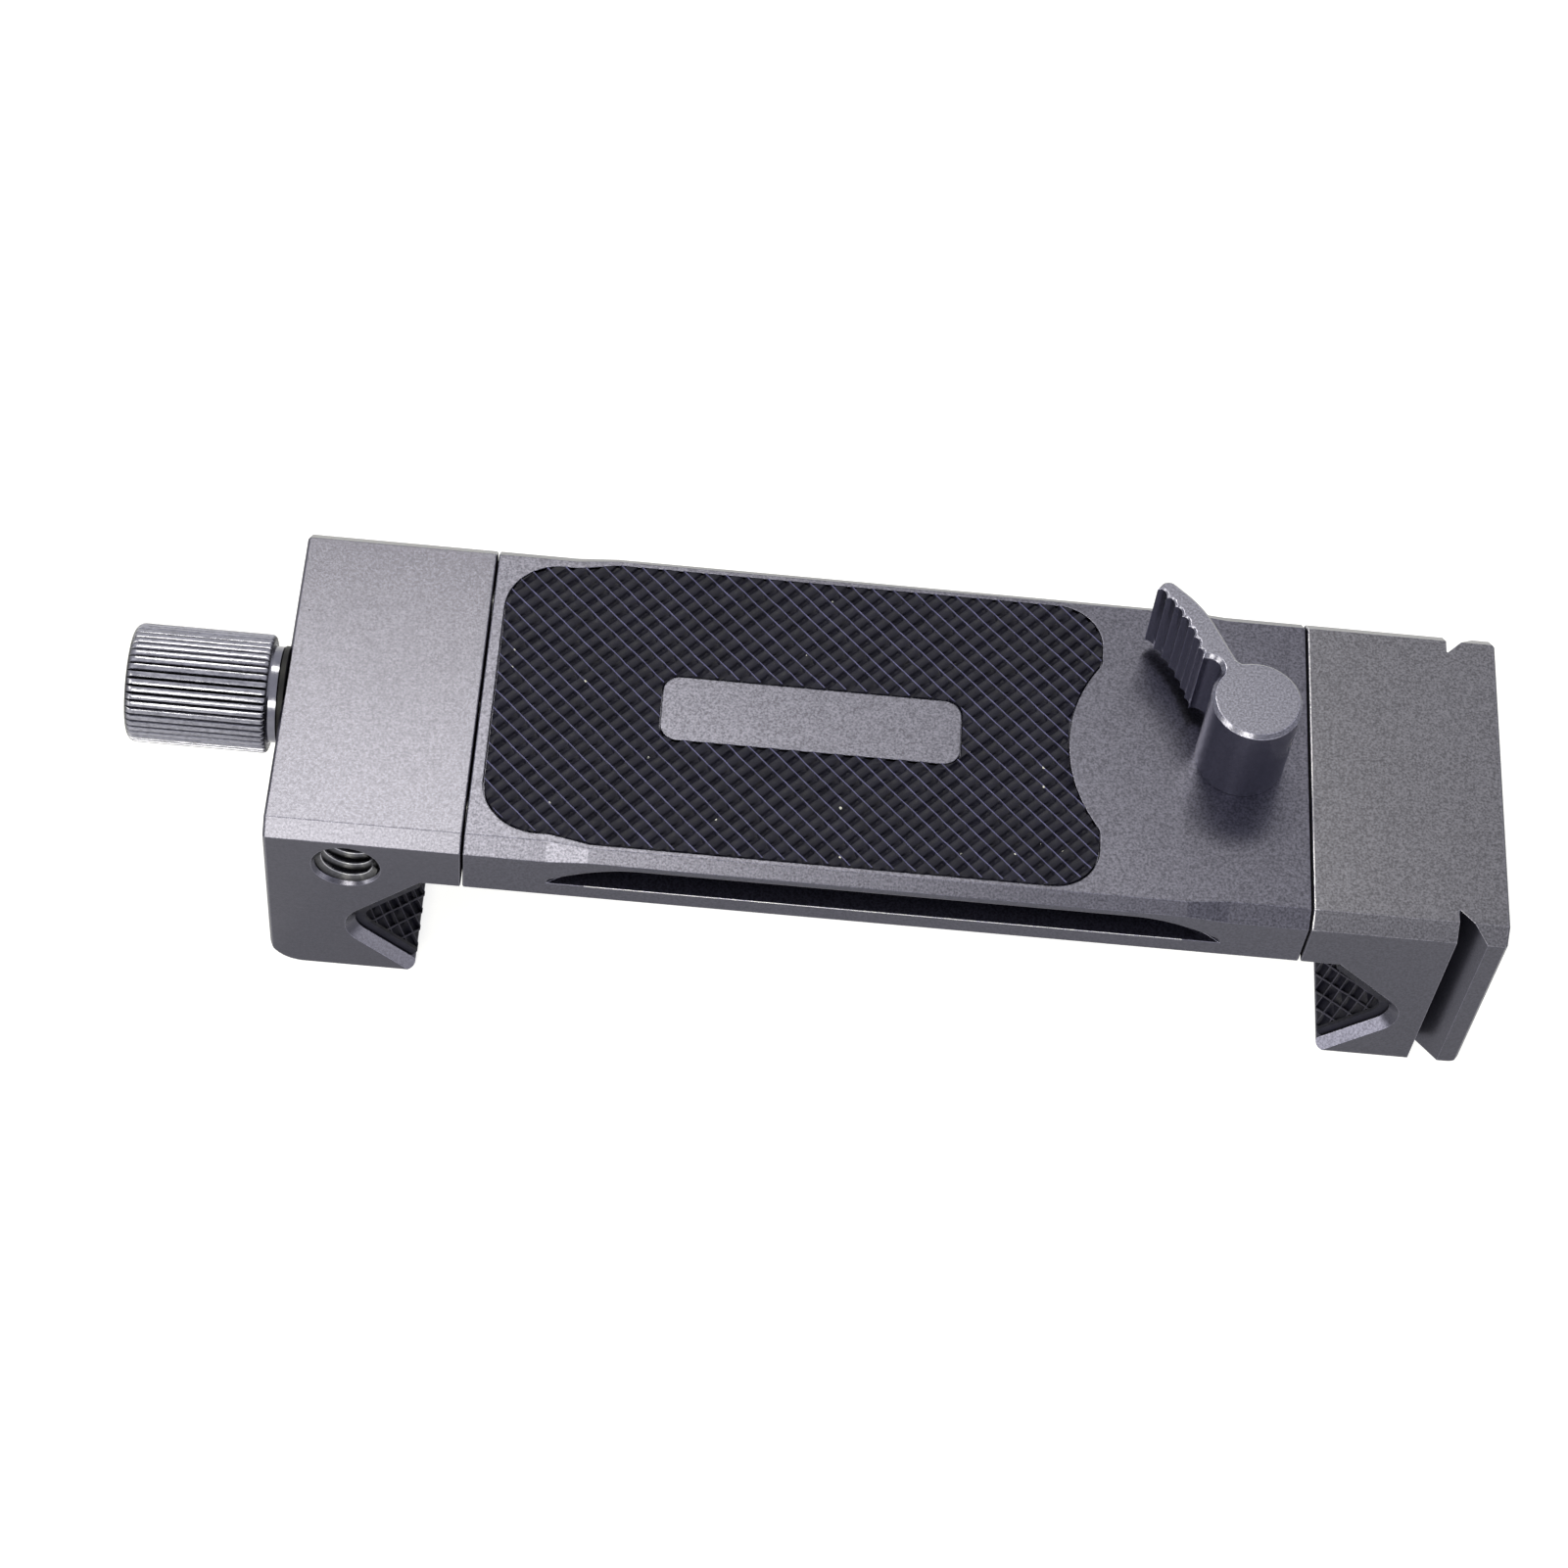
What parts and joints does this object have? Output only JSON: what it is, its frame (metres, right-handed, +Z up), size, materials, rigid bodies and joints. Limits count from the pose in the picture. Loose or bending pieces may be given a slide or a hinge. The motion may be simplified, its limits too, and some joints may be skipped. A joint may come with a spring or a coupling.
{
  "type": "tablet clamp holder",
  "caption": "Slim metal tablet holder with padded V hooks on a screw-adjusted jaw and a lever-locked sliding jaw, dovetails for a camera clamp and a threaded hole.",
  "frame": {"origin": "On the plane that the two hooks stand on, under the middle of the whole length and width.", "axes": "+X runs from the knob to the dovetail end, +Y from the threaded hole's face to the far side, +Z up through the padded face."},
  "size_m": [0.1416, 0.038, 0.036],
  "materials": {
    "grey_anodised": "bead blasted, grey anodised, satin",
    "rubber": "matt, with a raised diamond grid",
    "steel": "ground",
    "knob_steel": "turned bright, with straight ribs",
    "black_steel": "blackened",
    "black_acetal": "matt",
    "brass": "machined"
  },
  "bodies": {
    "body": {"body": "grey_anodised", "back_pad": "rubber", "rod_stop_screws": "black_steel"},
    "left_jaw": {"left_jaw": "grey_anodised", "left_jaw_pad": "rubber", "left_rod_front": "steel", "left_rod_back": "steel", "knob_washer": "black_acetal", "screw_retaining_pins": "steel"},
    "knob": {"knob": "knob_steel", "adjust_screw": "steel"},
    "right_jaw": {"right_jaw": "grey_anodised", "right_jaw_pad": "rubber", "right_rod_front": "steel", "right_rod_back": "steel"},
    "lever": {"lever": "grey_anodised", "cam_shaft": "steel", "lever_washer": "steel", "lever_screw": "black_steel"},
    "brake_shoe_front": {"brake_shoe_front": "brass"},
    "brake_shoe_back": {"brake_shoe_back": "brass"}
  },
  "joints": [
    {"name": "left_jaw_slide", "type": "slide", "parent": "body", "child": "left_jaw", "axis": [-1, 0, 0], "range_m": [0, 0.01]},
    {"name": "knob_turn", "type": "hinge", "parent": "left_jaw", "child": "knob", "pos_m": [-0.06, 0, 0.0211], "axis": [-1, 0, 0], "range_deg": [0, 4500]},
    {"name": "right_jaw_slide", "type": "slide", "parent": "body", "child": "right_jaw", "axis": [1, 0, 0], "range_m": [0, 0.055]},
    {"name": "lever_turn", "type": "hinge", "parent": "body", "child": "lever", "pos_m": [0.04337, 0, 0.0252], "axis": [0, 0, 1], "range_deg": [0, 110]},
    {"name": "front_shoe_slide", "type": "slide", "parent": "body", "child": "brake_shoe_front", "axis": [0, 1, 0], "range_m": [0, 0.0002]},
    {"name": "back_shoe_slide", "type": "slide", "parent": "body", "child": "brake_shoe_back", "axis": [0, -1, 0], "range_m": [0, 0.0002]}
  ],
  "couplings": [
    {"joint": "knob_turn", "follows": "left_jaw_slide", "rad_per_m": 7853.9},
    {"joint": "front_shoe_slide", "follows": "lever_turn", "m_per_rad": 0.00010417},
    {"joint": "back_shoe_slide", "follows": "lever_turn", "m_per_rad": 0.00010417}
  ]
}
